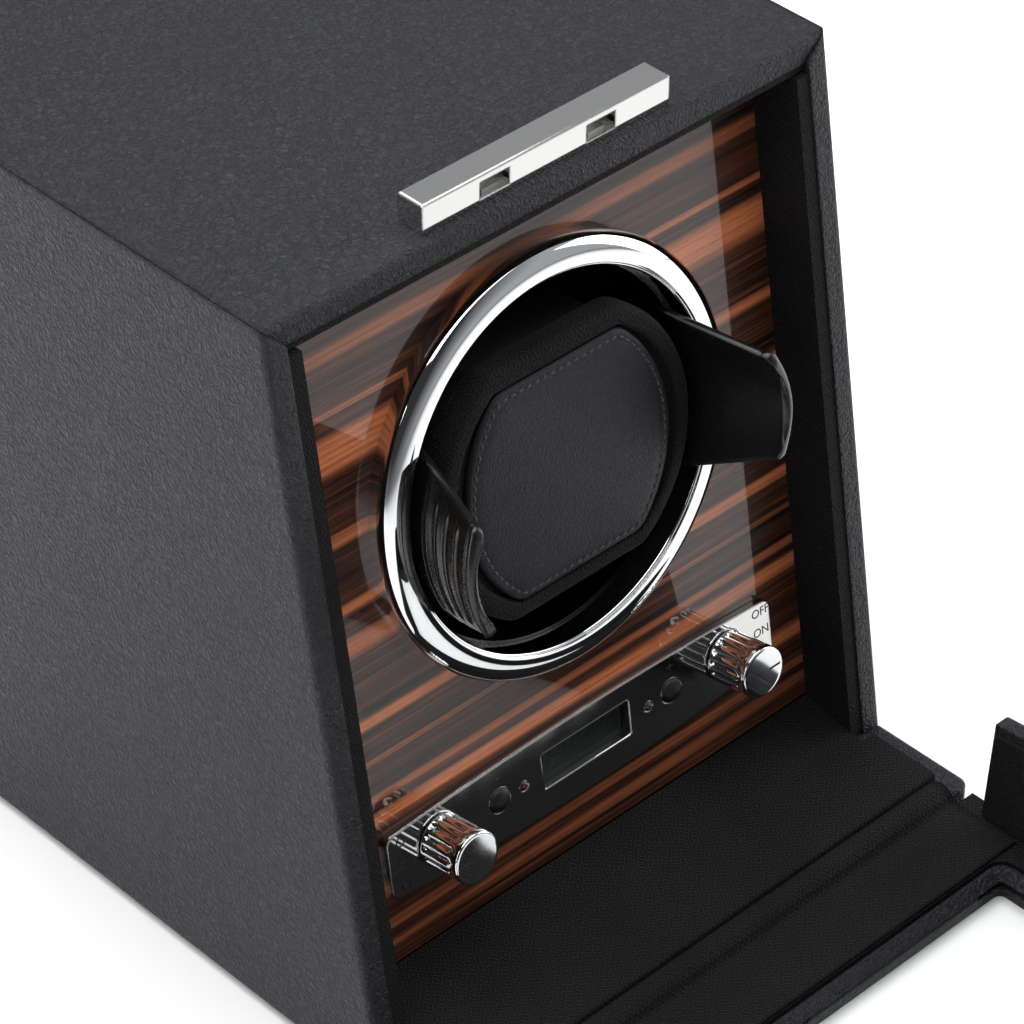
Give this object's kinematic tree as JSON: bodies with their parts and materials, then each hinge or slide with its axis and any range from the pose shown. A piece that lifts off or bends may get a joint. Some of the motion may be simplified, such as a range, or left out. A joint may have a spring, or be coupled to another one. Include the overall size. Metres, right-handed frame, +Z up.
{
  "type": "watch winder box",
  "caption": "Leather-covered watch winder with a hinged glass cover, wood fascia, chrome bezel, turning drum, removable watch cuff and a chrome control plate.",
  "frame": {"origin": "on the table, under the middle of the cover's hinge; the open box's plan centre", "axes": "+X to the right seen from the front, +Y to the back of the case, +Z up"},
  "size_m": [0.167, 0.3988, 0.2025],
  "materials": {
    "leather": "black pebbled leather, low sheen",
    "lining": "dark cloth with a small embossed diamond pattern",
    "pad_leather": "smooth black leather with a stitched edge",
    "veneer": "high-gloss striped ebony veneer",
    "plain_wood": "bare softwood",
    "chrome": "polished",
    "steel": "plain steel",
    "bronze": "sintered bronze",
    "black_gloss": "glossy black moulding",
    "black_matte": "matte black moulding",
    "gear_plastic": "natural acetal",
    "glass": "clear flat glass",
    "lcd": "grey-green liquid crystal display",
    "circuit_board": "green laminate",
    "led_red": "red diffused lens",
    "led_green": "green diffused lens",
    "rubber": "soft black rubber"
  },
  "bodies": {
    "case": {"side_panel_left": "leather", "side_panel_right": "leather", "top_panel": "leather", "base_panel": "leather", "back_panel": "leather", "side_liner_left": "lining", "side_liner_right": "lining", "top_liner": "lining", "tray_liner": "lining", "fascia_panel": "veneer", "fascia_cleats": "plain_wood", "bezel_ring": "chrome", "control_plate": "chrome", "lcd_lens": "glass", "lcd_module": "lcd", "control_board": "circuit_board", "led_red": "led_red", "led_green": "led_green", "program_switch": "black_matte", "power_switch": "black_matte", "tact_switches": "black_matte", "motor_bracket": "steel", "bracket_posts": "steel", "bracket_screws": "steel", "drum_bearing": "bronze", "gearbox": "steel", "gear_motor": "steel", "dc_jack": "black_matte", "feet": "rubber", "clasp_bar": "chrome", "clasp_catches": "steel", "hinge_leaf_case": "steel", "hinge_pins": "steel"},
    "cover": {"cover_board": "leather", "cover_side_left": "leather", "cover_side_right": "leather", "cover_top": "leather", "cover_liner": "lining", "cover_rim_liners": "lining", "window_frame": "leather", "window_glass": "glass", "cover_clasp_bar": "chrome", "hinge_leaf_cover": "steel"},
    "drum": {"drum_cup": "black_gloss", "drum_axle": "steel", "drum_gear": "gear_plastic", "axle_clip": "steel"},
    "pinion": {"pinion": "gear_plastic"},
    "cuff": {"cuff_pad": "pad_leather", "cuff_front_shell": "lining", "cuff_core": "black_matte", "cuff_rear_shell": "lining"},
    "wing_left": {"wing_left": "black_gloss"},
    "wing_right": {"wing_right": "black_gloss"},
    "program_knob": {"program_knob": "chrome", "program_spindle": "steel"},
    "power_knob": {"power_knob": "chrome", "power_spindle": "steel"},
    "minus_button": {"minus_button": "black_gloss"},
    "plus_button": {"plus_button": "black_gloss"}
  },
  "joints": [
    {"name": "cover_hinge", "type": "hinge", "parent": "case", "child": "cover", "pos_m": [0, 0, 0.0066], "axis": [1, 0, 0], "range_deg": [-93.5, 0]},
    {"name": "drum_spin", "type": "hinge", "parent": "case", "child": "drum", "pos_m": [0, 0.06345, 0.11955], "axis": [0, -0.9877, 0.1564], "continuous": true},
    {"name": "pinion_spin", "type": "hinge", "parent": "case", "child": "pinion", "pos_m": [0, 0.05782, 0.08399], "axis": [0, -0.9877, 0.1564], "continuous": true},
    {"name": "cuff_pull", "type": "slide", "parent": "drum", "child": "cuff", "axis": [0, -0.9877, 0.1564], "range_m": [0, 0.06]},
    {"name": "wing_left_squeeze", "type": "hinge", "parent": "cuff", "child": "wing_left", "pos_m": [-0.0402, 0.0753, 0.11767], "axis": [0, 0.1564, 0.9877], "range_deg": [0, 8], "stiffness_Nm_per_rad": 0.3},
    {"name": "wing_right_squeeze", "type": "hinge", "parent": "cuff", "child": "wing_right", "pos_m": [0.0402, 0.0753, 0.11767], "axis": [0, -0.1564, -0.9877], "range_deg": [0, 8], "stiffness_Nm_per_rad": 0.3},
    {"name": "program_knob_turn", "type": "hinge", "parent": "case", "child": "program_knob", "pos_m": [-0.046, 0.05129, 0.0428], "axis": [0, -0.9877, 0.1564], "range_deg": [-30, 30]},
    {"name": "power_knob_turn", "type": "hinge", "parent": "case", "child": "power_knob", "pos_m": [0.046, 0.05129, 0.0428], "axis": [0, -0.9877, 0.1564], "range_deg": [0, 30]},
    {"name": "minus_button_press", "type": "slide", "parent": "case", "child": "minus_button", "axis": [0, 0.9877, -0.1564], "range_m": [0, 0.0008], "stiffness_N_per_m": 600},
    {"name": "plus_button_press", "type": "slide", "parent": "case", "child": "plus_button", "axis": [0, 0.9877, -0.1564], "range_m": [0, 0.0008], "stiffness_N_per_m": 600}
  ],
  "couplings": [
    {"joint": "pinion_spin", "follows": "drum_spin", "ratio": -5}
  ]
}
